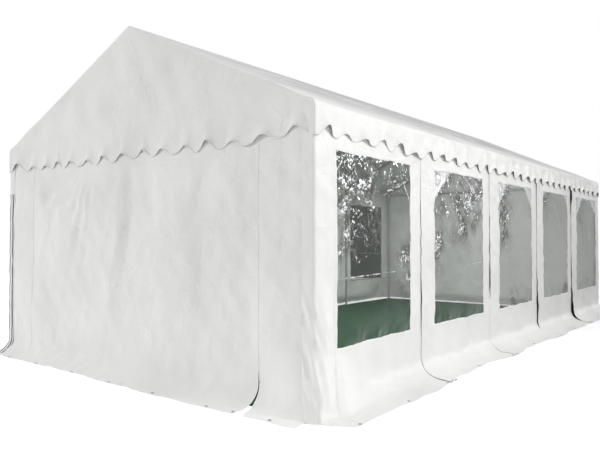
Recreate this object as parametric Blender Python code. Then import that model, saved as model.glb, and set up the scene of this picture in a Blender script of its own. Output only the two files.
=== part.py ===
"""A frame marquee: steel tubes, a sewn roof with scalloped valances, and windowed walls.

Metres, +Z up. The origin is on the ground at the middle of the tent. The tent's
length runs along Y, and the front gable faces -Y.
"""

import math

import bmesh
import bpy
from mathutils import Matrix, Vector

# Driving dimensions of the tent
WIDTH = 5.0
BAY = 2.0
BAYS = 5
EAVE = 2.70
RIDGE = 3.85
FABRIC = 0.005
GAP = 0.0003

# Steel frame
TUBE_RADIUS = 0.025
PURLIN_RADIUS = 0.019
HUB_RADIUS = 0.026
EAVE_SLEEVE = 0.16
RIDGE_SLEEVE = 0.06
SOCKET_LENGTH = 0.14
GABLE_BAR_DROP = 0.05
FOOT_SIZE = 0.10
FOOT_THICKNESS = 0.006
TUBE_SIDES = 16

# Valance
SCALLOPS_PER_BAY = 6
SCALLOP_DEPTH = 0.095
VALANCE_DROP = 0.31
POINTS_PER_SCALLOP = 6

# Walls and their skirts on the ground
WALL_TOP_BELOW_EAVE = 0.02
FLARE_RADIUS = 0.10
FLARE_STEPS = 5
SIDE_SKIRT = 0.37
END_SKIRT = 0.27
CORNER_RETURN = 0.10
PANEL_GAP = 0.010
ZIP_FROM_MIDDLE = 1.90

# Windows, measured inside one bay
WINDOW_START = 0.33
WINDOW_END = 1.75
WINDOW_BOTTOM = 0.55
WINDOW_TOP = 2.30
FILM = 0.003

# Sizes that follow
HALF_WIDTH = WIDTH / 2
HALF_LENGTH = BAY * BAYS / 2
SLOPE = math.atan2(RIDGE - EAVE, HALF_WIDTH)
SCALLOP_PITCH = BAY / SCALLOPS_PER_BAY
LAYER = FABRIC + GAP
WALL_X = HALF_WIDTH - LAYER
WALL_Y = HALF_LENGTH - LAYER
WALL_TOP = EAVE - WALL_TOP_BELOW_EAVE
FRAME_X = WALL_X - LAYER
FRAME_Y = WALL_Y - LAYER
FRAME_BELOW_ROOF = (LAYER + HUB_RADIUS) / math.cos(SLOPE)
EAVE_AXIS_X = FRAME_X - HUB_RADIUS
EAVE_AXIS_Z = RIDGE - EAVE_AXIS_X * math.tan(SLOPE) - FRAME_BELOW_ROOF
RIDGE_AXIS_Z = RIDGE - FRAME_BELOW_ROOF


def clear_scene():
    for thing in list(bpy.data.objects):
        bpy.data.objects.remove(thing, do_unlink=True)


def make_material(name, color, roughness, metallic=0.0, alpha=1.0):
    material = bpy.data.materials.new(name)
    material.use_nodes = True
    shader = material.node_tree.nodes["Principled BSDF"]
    shader.inputs["Base Color"].default_value = (*color, 1.0)
    shader.inputs["Roughness"].default_value = roughness
    shader.inputs["Metallic"].default_value = metallic
    shader.inputs["Alpha"].default_value = alpha
    return material


def make_object(name, mesh, material):
    thing = bpy.data.objects.new(name, mesh)
    bpy.context.collection.objects.link(thing)
    mesh.materials.clear()
    mesh.materials.append(material)
    return thing


def mesh_from(name, shape):
    mesh = bpy.data.meshes.new(name)
    shape.to_mesh(mesh)
    shape.free()
    return mesh


# Steel frame

def tube_mesh(name, start, end, radius):
    """A closed round bar from one point to another."""
    start = Vector(start)
    end = Vector(end)
    direction = end - start
    turn = direction.to_track_quat("Z", "Y").to_matrix().to_4x4()
    place = Matrix.Translation((start + end) / 2) @ turn
    shape = bmesh.new()
    bmesh.ops.create_cone(
        shape,
        cap_ends=True,
        segments=TUBE_SIDES,
        radius1=radius,
        radius2=radius,
        depth=direction.length,
        matrix=place,
    )
    return mesh_from(name, shape)


def bore_mesh(x, z, radius):
    """A bar along the whole tent, a little wider than the tube that its bore takes."""
    return tube_mesh("bore", (x, -HALF_LENGTH, z), (x, HALF_LENGTH, z), radius + GAP)


def plate_mesh(name, x, y, size, thickness):
    """A square plate standing on the ground."""
    shape = bmesh.new()
    place = Matrix.Translation((x, y, thickness / 2)) @ Matrix.Diagonal((size, size, thickness, 1.0))
    bmesh.ops.create_cube(shape, size=1.0, matrix=place)
    return mesh_from(name, shape)


def fused_mesh(name, added, removed=()):
    """One closed mesh: every added mesh joined, and every removed mesh cut out of it."""
    helpers = [bpy.data.objects.new(mesh.name, mesh) for mesh in (*added, *removed)]
    for helper in helpers:
        bpy.context.collection.objects.link(helper)
    base = helpers[0]
    for index, helper in enumerate(helpers[1:], start=1):
        cut = base.modifiers.new(helper.name, "BOOLEAN")
        cut.operation = "UNION" if index < len(added) else "DIFFERENCE"
        cut.object = helper
    evaluated = base.evaluated_get(bpy.context.evaluated_depsgraph_get())
    result = bpy.data.meshes.new_from_object(evaluated)
    result.name = name
    for helper in helpers:
        bpy.data.objects.remove(helper, do_unlink=True)
    return result


def round_off(mesh):
    mesh.shade_smooth()
    mesh.set_sharp_from_angle(angle=math.radians(35))


def purlin_places():
    """The X and Z of the three purlins that run the length of the tent."""
    return {
        "eave_purlin_left": (-EAVE_AXIS_X, EAVE_AXIS_Z),
        "ridge_purlin": (0.0, RIDGE_AXIS_Z),
        "eave_purlin_right": (EAVE_AXIS_X, EAVE_AXIS_Z),
    }


def add_purlins(steel):
    for name, (x, z) in purlin_places().items():
        mesh = tube_mesh(name, (x, -FRAME_Y, z), (x, FRAME_Y, z), PURLIN_RADIUS)
        round_off(mesh)
        make_object(name, mesh, steel)


def frame_lines():
    """Where the six portal frames stand along Y, from the front to the back."""
    inset = HALF_LENGTH - FRAME_Y + HUB_RADIUS
    lines = [-HALF_LENGTH + BAY * index for index in range(BAYS + 1)]
    lines[0] += inset
    lines[-1] -= inset
    return lines


def sleeve_mesh(x, y, z, length):
    """A sleeve round a purlin; at the gables it ends flush with the frame."""
    start = max(y - length / 2, -FRAME_Y)
    end = min(y + length / 2, FRAME_Y)
    return tube_mesh("sleeve", (x, start, z), (x, end, z), HUB_RADIUS)


def ridge_truss_mesh(name, y):
    """Two rafters in one plane, joined by the sleeve that holds the ridge purlin."""
    ridge = (0.0, y, RIDGE_AXIS_Z)
    added = [sleeve_mesh(*ridge, RIDGE_SLEEVE)]
    removed = [bore_mesh(0, RIDGE_AXIS_Z, PURLIN_RADIUS)]
    for x in (EAVE_AXIS_X, -EAVE_AXIS_X):
        added.append(tube_mesh("rafter", ridge, (x, y, EAVE_AXIS_Z), TUBE_RADIUS))
        removed.append(bore_mesh(x, EAVE_AXIS_Z, HUB_RADIUS))
        below = (x, y, EAVE_AXIS_Z - SOCKET_LENGTH)
        removed.append(tube_mesh("socket", below, (x, y, EAVE_AXIS_Z), HUB_RADIUS + GAP))
    mesh = fused_mesh(name, added, removed)
    round_off(mesh)
    return mesh


def add_trusses(steel):
    for number, y in enumerate(frame_lines(), start=1):
        name = f"roof_truss_{number}"
        make_object(name, ridge_truss_mesh(name, y), steel)


def leg_mesh(name, x, y):
    """A post on its foot plate, with the socket and the sleeve that holds the eave purlin."""
    eave = (x, y, EAVE_AXIS_Z)
    added = [
        tube_mesh("post", (x, y, FOOT_THICKNESS / 2), (x, y, EAVE_AXIS_Z), TUBE_RADIUS),
        tube_mesh("socket", (x, y, EAVE_AXIS_Z - SOCKET_LENGTH), eave, HUB_RADIUS),
        sleeve_mesh(*eave, EAVE_SLEEVE),
        plate_mesh("foot", x, y, FOOT_SIZE, FOOT_THICKNESS),
    ]
    mesh = fused_mesh(name, added, [bore_mesh(x, EAVE_AXIS_Z, PURLIN_RADIUS)])
    round_off(mesh)
    return mesh


def add_legs(steel):
    for side, x in (("left", -EAVE_AXIS_X), ("right", EAVE_AXIS_X)):
        for number, y in enumerate(frame_lines(), start=1):
            name = f"leg_{side}_{number}"
            make_object(name, leg_mesh(name, x, y), steel)


def add_gable_bars(steel):
    """The bar across each end, from leg to leg, that the end wall hangs from."""
    reach = EAVE_AXIS_X - HUB_RADIUS - GAP
    z = EAVE_AXIS_Z - GABLE_BAR_DROP
    lines = frame_lines()
    for end, y in (("front", lines[0]), ("back", lines[-1])):
        name = f"gable_bar_{end}"
        mesh = tube_mesh(name, (-reach, y, z), (reach, y, z), TUBE_RADIUS)
        round_off(mesh)
        make_object(name, mesh, steel)


# Fabric

def sheet_object(name, shape, thickness, material):
    """A sheet whose outer face is the given open mesh, thickened to the inside."""
    thing = make_object(name, mesh_from(name, shape), material)
    shell = thing.modifiers.new("thickness", "SOLIDIFY")
    shell.thickness = thickness
    shell.offset = -1.0
    shell.use_even_offset = True
    return thing


def grid_faces(shape, columns, skip=None):
    """Join columns of points, listed from the left as seen from outside, top to bottom."""
    points = [[shape.verts.new(point) for point in column] for column in columns]
    for left, (first, second) in enumerate(zip(points, points[1:])):
        for row in range(len(first) - 1):
            if skip == (left, row):
                continue
            shape.faces.new((first[row], first[row + 1], second[row + 1], second[row]))


def half_turn(thing):
    """The same piece at the opposite place of the tent."""
    thing.rotation_euler = (0, 0, math.pi)


def add_roof_sheet(fabric):
    shape = bmesh.new()
    columns = []
    for y in (-HALF_LENGTH, HALF_LENGTH):
        columns.append([(-HALF_WIDTH, y, EAVE), (0, y, RIDGE), (HALF_WIDTH, y, EAVE)])
    grid_faces(shape, columns)
    sheet_object("roof_sheet", shape, FABRIC, fabric)


def scallop_edge(distance):
    """Height of the valance's lower edge, with a low point at each corner of the tent."""
    wave = (1 - math.cos(2 * math.pi * distance / SCALLOP_PITCH)) / 2
    return EAVE - VALANCE_DROP + SCALLOP_DEPTH * wave


def scallop_steps(length):
    """Distances along a valance of the given length, with its scallops evenly sampled."""
    count = round(length / SCALLOP_PITCH) * POINTS_PER_SCALLOP
    return [length * step / count for step in range(count + 1)]


def add_side_valances(fabric):
    top = EAVE - FABRIC * math.cos(SLOPE) - GAP
    for side in ("right", "left"):
        shape = bmesh.new()
        columns = []
        for distance in scallop_steps(2 * HALF_LENGTH):
            y = -HALF_LENGTH + distance
            columns.append([(HALF_WIDTH, y, top), (HALF_WIDTH, y, scallop_edge(distance))])
        grid_faces(shape, columns)
        valance = sheet_object(f"valance_{side}", shape, FABRIC, fabric)
        if side == "left":
            half_turn(valance)


def add_gables(fabric):
    """The end triangles of the roof, each one piece with the valance below it."""
    reach = HALF_WIDTH - LAYER
    for end in ("front", "back"):
        shape = bmesh.new()
        columns = []
        for distance in scallop_steps(WIDTH):
            x = max(-reach, min(reach, distance - HALF_WIDTH))
            under_roof = RIDGE - abs(x) * math.tan(SLOPE) - LAYER / math.cos(SLOPE)
            columns.append([(x, -HALF_LENGTH, under_roof), (x, -HALF_LENGTH, scallop_edge(distance))])
        grid_faces(shape, columns)
        gable = sheet_object(f"gable_{end}", shape, FABRIC, fabric)
        if end == "back":
            half_turn(gable)


def wall_profile(skirt):
    """Outward distance and height of a wall's outer face, from its top to the skirt's edge."""
    points = [(0, WALL_TOP), (0, WINDOW_TOP), (0, WINDOW_BOTTOM)]
    for step in range(FLARE_STEPS + 1):
        angle = math.radians(90) * step / FLARE_STEPS
        out = FLARE_RADIUS * (1 - math.cos(angle))
        height = FABRIC + FLARE_RADIUS * (1 - math.sin(angle))
        points.append((out, height))
    points.append((skirt, FABRIC))
    return points


def side_columns(distances):
    """Columns of a wall panel on the right side, which turns out along +X."""
    profile = wall_profile(SIDE_SKIRT)
    return [[(WALL_X + out, y, z) for out, z in profile] for y in distances]


def end_columns(distances):
    """Columns of a wall panel on the front, which turns out along -Y."""
    profile = wall_profile(END_SKIRT)
    return [[(x, -WALL_Y - out, z) for out, z in profile] for x in distances]


def side_panel(bay):
    """One windowed panel of the right side; those at the ends turn the tent's corner."""
    start = -HALF_LENGTH + BAY * bay
    left = -WALL_Y if bay == 0 else start + PANEL_GAP / 2
    right = WALL_Y if bay == BAYS - 1 else start + BAY - PANEL_GAP / 2
    shape = bmesh.new()
    window_cell = (1, 1)
    distances = (left, start + WINDOW_START, start + WINDOW_END, right)
    grid_faces(shape, side_columns(distances), skip=window_cell)
    if bay == 0:
        grid_faces(shape, end_columns((WALL_X - CORNER_RETURN, WALL_X)))
    if bay == BAYS - 1:
        back = [[(x, -y, z) for x, y, z in column]
                for column in end_columns((WALL_X, WALL_X - CORNER_RETURN))]
        grid_faces(shape, back)
    bmesh.ops.remove_doubles(shape, verts=shape.verts, dist=GAP / 10)
    return shape


def window_pane(bay):
    start = -HALF_LENGTH + BAY * bay
    x = WALL_X - (FABRIC - FILM) / 2
    columns = []
    for y in (start + WINDOW_START + GAP, start + WINDOW_END - GAP):
        columns.append([(x, y, WINDOW_TOP - GAP), (x, y, WINDOW_BOTTOM + GAP)])
    shape = bmesh.new()
    grid_faces(shape, columns)
    return shape


def add_side_walls(fabric, film):
    for bay in range(BAYS):
        sheet_object(f"side_wall_right_{bay + 1}", side_panel(bay), FABRIC, fabric)
        sheet_object(f"window_right_{bay + 1}", window_pane(bay), FILM, film)
        opposite = BAYS - bay
        half_turn(sheet_object(f"side_wall_left_{opposite}", side_panel(bay), FABRIC, fabric))
        half_turn(sheet_object(f"window_left_{opposite}", window_pane(bay), FILM, film))


def add_end_walls(fabric):
    """Each end wall is a zipped door panel between two strips."""
    edge = WALL_X - CORNER_RETURN - PANEL_GAP
    zipped = ZIP_FROM_MIDDLE - GAP
    panels = {
        "left": (-edge, -ZIP_FROM_MIDDLE),
        "door": (-zipped, zipped),
        "right": (ZIP_FROM_MIDDLE, edge),
    }
    for part, distances in panels.items():
        for end in ("front", "back"):
            shape = bmesh.new()
            grid_faces(shape, end_columns(distances))
            panel = sheet_object(f"end_wall_{end}_{part}", shape, FABRIC, fabric)
            if end == "back":
                half_turn(panel)


def build():
    clear_scene()
    steel = make_material("galvanised_steel", (0.62, 0.63, 0.64), 0.38, metallic=0.9)
    roof_fabric = make_material("roof_fabric", (0.84, 0.84, 0.83), 0.45)
    wall_fabric = make_material("wall_fabric", (0.88, 0.88, 0.87), 0.45)
    film = make_material("window_film", (0.72, 0.76, 0.75), 0.08, alpha=0.3)
    add_purlins(steel)
    add_trusses(steel)
    add_legs(steel)
    add_gable_bars(steel)
    add_roof_sheet(roof_fabric)
    add_side_valances(roof_fabric)
    add_gables(roof_fabric)
    add_side_walls(wall_fabric, film)
    add_end_walls(wall_fabric)


build()
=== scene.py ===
"""The looks of the frame marquee: a sewn roof cover, windowed walls, clear film and steel.

Metres, +Z up. The tent's length runs along Y, and the front gable faces -Y. Each sheet is
worked out from the frame's flat walls and roof, with the sag, ripples and folds of cloth.
The left side and the back are the right side and the front turned half round, with other folds.
"""

import math

import bmesh
import bpy
import numpy as np
from mathutils import Matrix, Vector


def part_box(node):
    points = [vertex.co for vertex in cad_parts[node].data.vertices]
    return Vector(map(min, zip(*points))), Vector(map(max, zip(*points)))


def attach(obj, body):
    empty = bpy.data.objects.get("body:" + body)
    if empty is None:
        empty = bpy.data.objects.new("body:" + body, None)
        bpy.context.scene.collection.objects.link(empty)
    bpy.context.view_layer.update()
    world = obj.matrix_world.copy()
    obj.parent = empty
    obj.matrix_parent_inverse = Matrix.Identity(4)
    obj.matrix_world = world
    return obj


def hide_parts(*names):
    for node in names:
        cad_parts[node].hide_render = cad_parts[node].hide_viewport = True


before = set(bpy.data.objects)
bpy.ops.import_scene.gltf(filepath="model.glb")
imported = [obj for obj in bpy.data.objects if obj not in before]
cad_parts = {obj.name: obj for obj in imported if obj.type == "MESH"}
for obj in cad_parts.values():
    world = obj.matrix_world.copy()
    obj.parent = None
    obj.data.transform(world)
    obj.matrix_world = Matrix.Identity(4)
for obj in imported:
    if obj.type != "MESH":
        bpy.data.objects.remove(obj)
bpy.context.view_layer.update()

# Sizes of the tent, as in the source of its frame
EAVE = 2.70
BAY = 2.0
BAYS = 5
CAD_FABRIC = 0.005
CORNER_RETURN = 0.10
PANEL_GAP = 0.010
VALANCE_DROP = 0.31
SCALLOPS_PER_BAY = 6

# Sizes read from the frame
HALF_WIDTH, HALF_LENGTH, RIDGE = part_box("roof_sheet")[1]
WALL_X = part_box("side_wall_right_3")[0].x + CAD_FABRIC
WALL_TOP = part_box("side_wall_right_3")[1].z
SIDE_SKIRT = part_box("side_wall_right_3")[1].x - WALL_X
WALL_Y = CAD_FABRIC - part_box("end_wall_front_door")[1].y
END_SKIRT = -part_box("end_wall_front_door")[0].y - WALL_Y
ZIP_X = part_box("end_wall_front_door")[1].x
STRIP_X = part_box("end_wall_front_right")[1].x
WINDOW_LOW, WINDOW_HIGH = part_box("window_right_1")
WINDOW_START = WINDOW_LOW.y + HALF_LENGTH
WINDOW_END = WINDOW_HIGH.y + HALF_LENGTH
SLOPE = math.atan2(RIDGE - EAVE, HALF_WIDTH)
SCALLOP_PITCH = BAY / SCALLOPS_PER_BAY

# Cloth
CLOTH = 0.001
SIDE_SCALLOP = 0.088
GABLE_SCALLOP = 0.092
GABLE_DROOP = 0.038
CELL = 0.028
FILM_CELL = 0.016
FLARE = 0.22
GROUND_CLEAR = 0.0015
STRAIGHT = WALL_TOP - FLARE
BEND = FLARE * math.pi / 2
SIDE_DROP = STRAIGHT + BEND + SIDE_SKIRT - FLARE
END_DROP = STRAIGHT + BEND + END_SKIRT - FLARE


def smooth(value):
    """0 below 0, 1 above 1, and a soft step in between."""
    value = np.clip(value, 0.0, 1.0)
    return value * value * (3 - 2 * value)


def waves(seed, length, count=9):
    """A smooth random field over a plane, mostly within -1 and 1, with bumps about that far apart."""
    random = np.random.default_rng(seed)
    angles = random.uniform(0, 2 * math.pi, count)
    lengths = length * random.uniform(0.7, 1.6, count)
    phases = random.uniform(0, 2 * math.pi, count)

    def field(across, down):
        total = 0.0
        for angle, size, phase in zip(angles, lengths, phases):
            along = across * math.cos(angle) + down * math.sin(angle)
            total = total + np.sin(2 * math.pi * along / size + phase)
        return total / math.sqrt(count)

    return field


def crumple(seed, length, count=5):
    """A crumpled random field over a plane: facets that meet in sharp creases, mostly within -1 and 1."""
    random = np.random.default_rng(seed)
    angles = random.uniform(0, 2 * math.pi, count)
    lengths = length * random.uniform(0.6, 1.8, count)
    phases = random.uniform(0, 1, count)
    bend = waves(seed + 1, 3 * length)

    def field(across, down):
        total = 0.0
        for angle, size, phase in zip(angles, lengths, phases):
            along = (across * math.cos(angle) + down * math.sin(angle)) / size
            along = along + phase + 0.35 * bend(across, down)
            total = total + 4 * np.abs(along % 1.0 - 0.5) - 1
        return total / math.sqrt(count)

    return field


# Meshes

def grid_parts(points, keep=None):
    """Points and quads of a grid, leaving out the cells where keep is False."""
    rows, columns = points.shape[:2]
    ids = np.arange(rows * columns).reshape(rows, columns)
    quads = np.stack([ids[:-1, :-1], ids[1:, :-1], ids[1:, 1:], ids[:-1, 1:]], axis=-1)
    quads = quads.reshape(-1, 4) if keep is None else quads[keep]
    used, index = np.unique(quads, return_inverse=True)
    return points.reshape(-1, 3)[used], index.reshape(-1, 4)


def join_parts(parts):
    """One list of points and quads from several."""
    points = []
    quads = []
    start = 0
    for some_points, some_quads in parts:
        points.append(some_points)
        quads.append(some_quads + start)
        start += len(some_points)
    return np.concatenate(points), np.concatenate(quads)


def smooth_but_rims(shape):
    """Smooth the faces, but keep the sheet's open edges sharp, so that its thickness has a clean rim."""
    for face in shape.faces:
        face.smooth = True
    for edge in shape.edges:
        edge.smooth = not edge.is_boundary


def make_piece(name, parts, material, turned=False, merge=0.0):
    """A piece that rides on the tent, from points and faces; turned puts it at the opposite place."""
    points, faces = parts
    if turned:
        points = points * (-1, -1, 1)
    mesh = bpy.data.meshes.new(name)
    mesh.from_pydata(points.tolist(), [], faces.tolist())
    shape = bmesh.new()
    shape.from_mesh(mesh)
    if merge:
        bmesh.ops.remove_doubles(shape, verts=shape.verts, dist=merge)
    smooth_but_rims(shape)
    shape.to_mesh(mesh)
    shape.free()
    mesh.materials.append(material)
    piece = bpy.data.objects.new(name, mesh)
    bpy.context.collection.objects.link(piece)
    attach(piece, "root")
    return piece


def thicken(piece, thickness=CLOTH):
    """Give an open sheet its thickness on the inside."""
    shell = piece.modifiers.new("thickness", "SOLIDIFY")
    shell.thickness = thickness
    shell.offset = -1.0
    shell.use_even_offset = False


def spread(start, end, cell):
    """Even steps from start to end, about one cell long."""
    return np.linspace(start, end, max(2, round(abs(end - start) / cell) + 1))


def steps_through(stops, cell, least=1):
    """Even steps through several stops, each of which is a step too, with at least a few between stops."""
    runs = [spread(first, last, min(cell, (last - first) / least))[:-1] for first, last in zip(stops, stops[1:])]
    return np.concatenate([*runs, [stops[-1]]])


# Roof cover

ROUND = 0.014
EAVE_ROUND = 0.022
ARC_STEPS = 4
VALANCE_ROWS = 8
SLOPE_ROWS = 46
LENGTH_CELLS = 180
FOOT = EAVE - VALANCE_DROP
TANGENT = EAVE - EAVE_ROUND * math.tan((math.pi / 2 - SLOPE) / 2)
ROOF_SAG = 0.022
ROOF_CROWN = 0.016
EAVE_SAG = 0.006
CORNER_FLAP = 0.038
DRIFT_PLACES = (0.0, 0.4, 0.9, 1.3, 4.3, 5.0)
DRIFTS = (0.0, -0.10, -0.03, 0.09, 0.08, 0.0)


def rounded_corner(before, corner, after, radius):
    """Points of the arc that rounds a corner."""
    to_before = (before - corner).normalized()
    to_after = (after - corner).normalized()
    half = to_before.angle(to_after) / 2
    centre = corner + (to_before + to_after).normalized() * radius / math.sin(half)
    first = corner + to_before * radius / math.tan(half) - centre
    turn = math.pi - 2 * half
    turn = turn if first.x * to_before.y > first.y * to_before.x else -turn
    return [centre + Matrix.Rotation(-turn * step / ARC_STEPS, 2) @ first for step in range(ARC_STEPS + 1)]


def roof_section(inset):
    """Points across the roof from one valance's foot to the other's, drawn in by inset all round."""
    half = HALF_WIDTH - inset
    ridge = RIDGE - inset / math.cos(SLOPE)
    eave = ridge - half * math.tan(SLOPE)
    stops = [Vector(p) for p in ((-half, FOOT), (-half, eave), (0, ridge), (half, eave), (half, FOOT))]
    rows = (VALANCE_ROWS, SLOPE_ROWS, SLOPE_ROWS, VALANCE_ROWS)
    arcs = [rounded_corner(*stops[k - 1:k + 2], EAVE_ROUND - inset) for k in (1, 2, 3)]
    arcs = [[stops[0]], *arcs, [stops[-1]]]
    section = []
    for count, first, second in zip(rows, arcs, arcs[1:]):
        section.extend(first[:-1])
        section.extend(first[-1].lerp(second[0], step / count) for step in range(count))
    section.append(stops[-1])
    return np.array(section)


def roof_base():
    """The roof cover before it hangs: both slopes and all four valances, with rounded edges."""
    rings = []
    for step in range(ARC_STEPS, 0, -1):
        angle = math.radians(90) * step / ARC_STEPS
        inset = ROUND * (1 - math.cos(angle))
        rings.append((inset, HALF_LENGTH - ROUND + ROUND * math.sin(angle)))
    body = [(0.0, y) for y in spread(-HALF_LENGTH + ROUND, HALF_LENGTH - ROUND, 2 * HALF_LENGTH / LENGTH_CELLS)]
    stations = [(inset, -y) for inset, y in rings] + body + [(inset, y) for inset, y in reversed(rings)]
    sections = {inset: roof_section(inset) for inset, _ in stations}
    cover = np.stack([np.insert(sections[inset], 1, y, axis=1) for inset, y in stations])
    parts = [grid_parts(cover[::-1])]
    for station, flip in ((cover[0], 1), (cover[-1], -1)):
        tops = station[VALANCE_ROWS:len(station) - VALANCE_ROWS]
        feet = tops * (1, 1, 0) + (0, 0, FOOT)
        share = np.linspace(0, 1, VALANCE_ROWS + 1)[:, None, None]
        parts.append(grid_parts((tops + (feet - tops) * share)[:, ::flip]))
    return join_parts(parts)


def refine_hanging(mesh):
    """Halve the cells of the gables and valances, which are finely scalloped."""
    shape = bmesh.new()
    shape.from_mesh(mesh)
    bmesh.ops.remove_doubles(shape, verts=shape.verts, dist=1e-5)
    hangs = {v for v in shape.verts if v.co.z < TANGENT + 1e-4 or abs(v.co.y) > HALF_LENGTH - 1e-5}
    edges = [e for e in shape.edges if e.verts[0] in hangs and e.verts[1] in hangs]
    bmesh.ops.subdivide_edges(shape, edges=edges, cuts=1, use_grid_fill=True)
    smooth_but_rims(shape)
    shape.to_mesh(mesh)
    shape.free()


def drift(distance, seed):
    """How far the scallops have slid along the valance: most of a gable's to the left."""
    slid = np.interp(distance, DRIFT_PLACES, DRIFTS) if seed >= 300 else 0.0
    return slid + 0.018 * waves(seed, 0.9)(distance, 0 * distance)


def scallop(distance, seed):
    """How far the valance's lower edge rises at a distance from the corner, from 0 to about 1."""
    wander = drift(distance, seed)
    wave = (1 - np.cos(2 * math.pi * (distance + wander) / SCALLOP_PITCH)) / 2
    tall = 1 + 0.22 * waves(seed + 1, 0.8)(distance, 0 * distance)
    lift = 0.13 * (1 + waves(seed + 2, 0.6)(distance, 0 * distance))
    return wave ** 1.3 * tall + lift * (1 - wave)


def flutter(distance, seed):
    """How far the valance's lower edge stands out, from 0 to about 1: most where a tongue begins."""
    lag = drift(distance, seed) - 0.018
    wave = (1 - np.cos(2 * math.pi * (distance + lag) / SCALLOP_PITCH)) / 2
    lean = waves(seed + 12, 0.55)(distance, 0 * distance)
    return 0.24 + 0.62 * wave ** 2.2 + 0.16 * lean


def hang_valance(points):
    """How far each point of the valances and gables moves up and outward."""
    x, y, z = points.T
    on_gable = np.abs(y) > HALF_LENGTH - 1e-5
    from_corner = np.where(on_gable, HALF_WIDTH - np.abs(x), HALF_LENGTH - np.abs(y))
    distance = np.where(on_gable, x + HALF_WIDTH, y + HALF_LENGTH)
    seeds = np.where(on_gable, 300, 200) + np.where(np.where(on_gable, y, -x) > 0, 50, 0)
    down = np.clip((TANGENT - z) / (TANGENT - FOOT), 0, 1)
    rise = np.zeros_like(z)
    out = np.zeros_like(z)
    for seed in np.unique(seeds):
        here = seeds == seed
        rise[here] = scallop(distance[here], int(seed))
        out[here] = flutter(distance[here], int(seed))
    rise = rise * np.where(on_gable, GABLE_SCALLOP, SIDE_SCALLOP)
    rise = rise - np.where(on_gable, GABLE_DROOP, 0.0) * smooth((from_corner - 0.1) / 0.7)
    stand = np.where(on_gable, 0.032 * down ** 2.4, 0.040 * down ** 1.6)
    free = smooth(from_corner / 0.12)
    ripple = 0.004 * waves(46, 0.30)(distance, z) * smooth(down * 3) * free
    return rise * down, out * stand * free + ripple


def hang_roof(points):
    """Move the roof's points to where the cloth hangs: sag, scallops and ripples."""
    x, y, z = points.T
    on_gable = np.abs(y) > HALF_LENGTH - 1e-5
    on_side = (HALF_LENGTH - np.abs(y) > ROUND - 1e-5) & (HALF_WIDTH - np.abs(x) < 1e-5)
    rise, out = hang_valance(points)
    inner = smooth((z - TANGENT) / 0.25) * smooth((RIDGE - np.abs(x) * math.tan(SLOPE) - z) / 0.3)
    bulge = 0.022 * waves(41, 1.1)(x, z) + 0.008 * waves(43, 0.35)(x, z) + 0.005
    seam = 0.010 * np.exp(-((HALF_WIDTH - np.abs(x) - 0.05) / 0.022) ** 2) * smooth((EAVE + 0.10 - z) / 0.15)
    out = out + np.where(on_gable, inner * bulge - seam, 0.0)

    between = (y + HALF_LENGTH) % BAY / BAY
    slack = 4 * between * (1 - between)
    share = np.abs(x) / HALF_WIDTH
    sag = ROOF_SAG * np.sin(math.pi * share) * slack + EAVE_SAG * slack * smooth((share - 0.6) / 0.4)
    sag = sag - ROOF_CROWN * np.exp(-((share - 0.83) / 0.10) ** 2)
    creased = 0.004 * waves(42, 0.45)(x, y) + 0.003 * waves(44, 0.22)(2.2 * x, 0.6 * y)
    sag = sag + creased * np.sin(math.pi * share) * (0.3 + 0.7 * slack)
    from_corner = np.hypot(HALF_WIDTH - np.abs(x), HALF_LENGTH - np.abs(y))
    above = smooth((z - FOOT) / (EAVE - FOOT))
    lift = np.where(on_gable, 0.0, -sag) * above + 0.008 * np.exp(-(from_corner / 0.10) ** 2) * above

    by_corner = (1 - smooth((HALF_WIDTH - np.abs(x)) / 0.12)) * (1 - smooth((HALF_LENGTH - np.abs(y)) / 0.70))
    flap = CORNER_FLAP * by_corner * smooth((EAVE + 0.05 - z) / 0.12)

    moved = points.copy()
    moved[:, 2] += rise + lift
    moved[:, 0] += np.sign(x) * (flap + np.where(on_side, out, 0.0))
    moved[:, 1] += np.where(on_gable, np.sign(y) * out, 0.0)
    return moved


def boundary_loop(mesh):
    """The points round the open edge of a mesh, in order."""
    shape = bmesh.new()
    shape.from_mesh(mesh)
    edge = next(e for e in shape.edges if e.is_boundary)
    start = edge.verts[0]
    vert = edge.other_vert(start)
    loop = [start.co.copy(), vert.co.copy()]
    while True:
        edge = next(e for e in vert.link_edges if e.is_boundary and e is not edge)
        vert = edge.other_vert(vert)
        if vert is start:
            break
        loop.append(vert.co.copy())
    shape.free()
    return np.array(loop)


def band_along(loop, below, above, half_thick):
    """A closed band round a level loop, from a little below the loop to above it."""
    ahead = np.roll(loop, -1, axis=0) - np.roll(loop, 1, axis=0)
    side = np.cross(ahead, (0, 0, 1))
    side = side / np.linalg.norm(side, axis=1)[:, None] * half_thick
    down = np.array((0, 0, below))
    up = np.array((0, 0, above))
    corners = [loop - side - down, loop + side - down, loop + side + up, loop - side + up]
    rows = np.stack([*corners, corners[0]])
    rows = np.concatenate([rows, rows[:, :1]], axis=1)
    return grid_parts(rows)


def add_roof(fabric, trim):
    nodes = ["roof_sheet", "valance_left", "valance_right", "gable_front", "gable_back"]
    cover = make_piece("roof_cover", roof_base(), fabric)
    refine_hanging(cover.data)
    points = np.empty(len(cover.data.vertices) * 3)
    cover.data.vertices.foreach_get("co", points)
    points = hang_roof(points.reshape(-1, 3))
    cover.data.vertices.foreach_set("co", points.ravel())
    cover.data.update()
    hem = band_along(boundary_loop(cover.data), 0.001, 0.013, 0.0016)
    binding = make_piece("valance_binding", hem, trim, merge=1e-6)
    thicken(cover)
    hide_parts(*nodes)


# Walls

BILLOW = 0.028
SKIRT_LIFT = 0.012
CORNER_RADIUS = 0.022
FAN_HOLD = (-0.57, 0.20)

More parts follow.
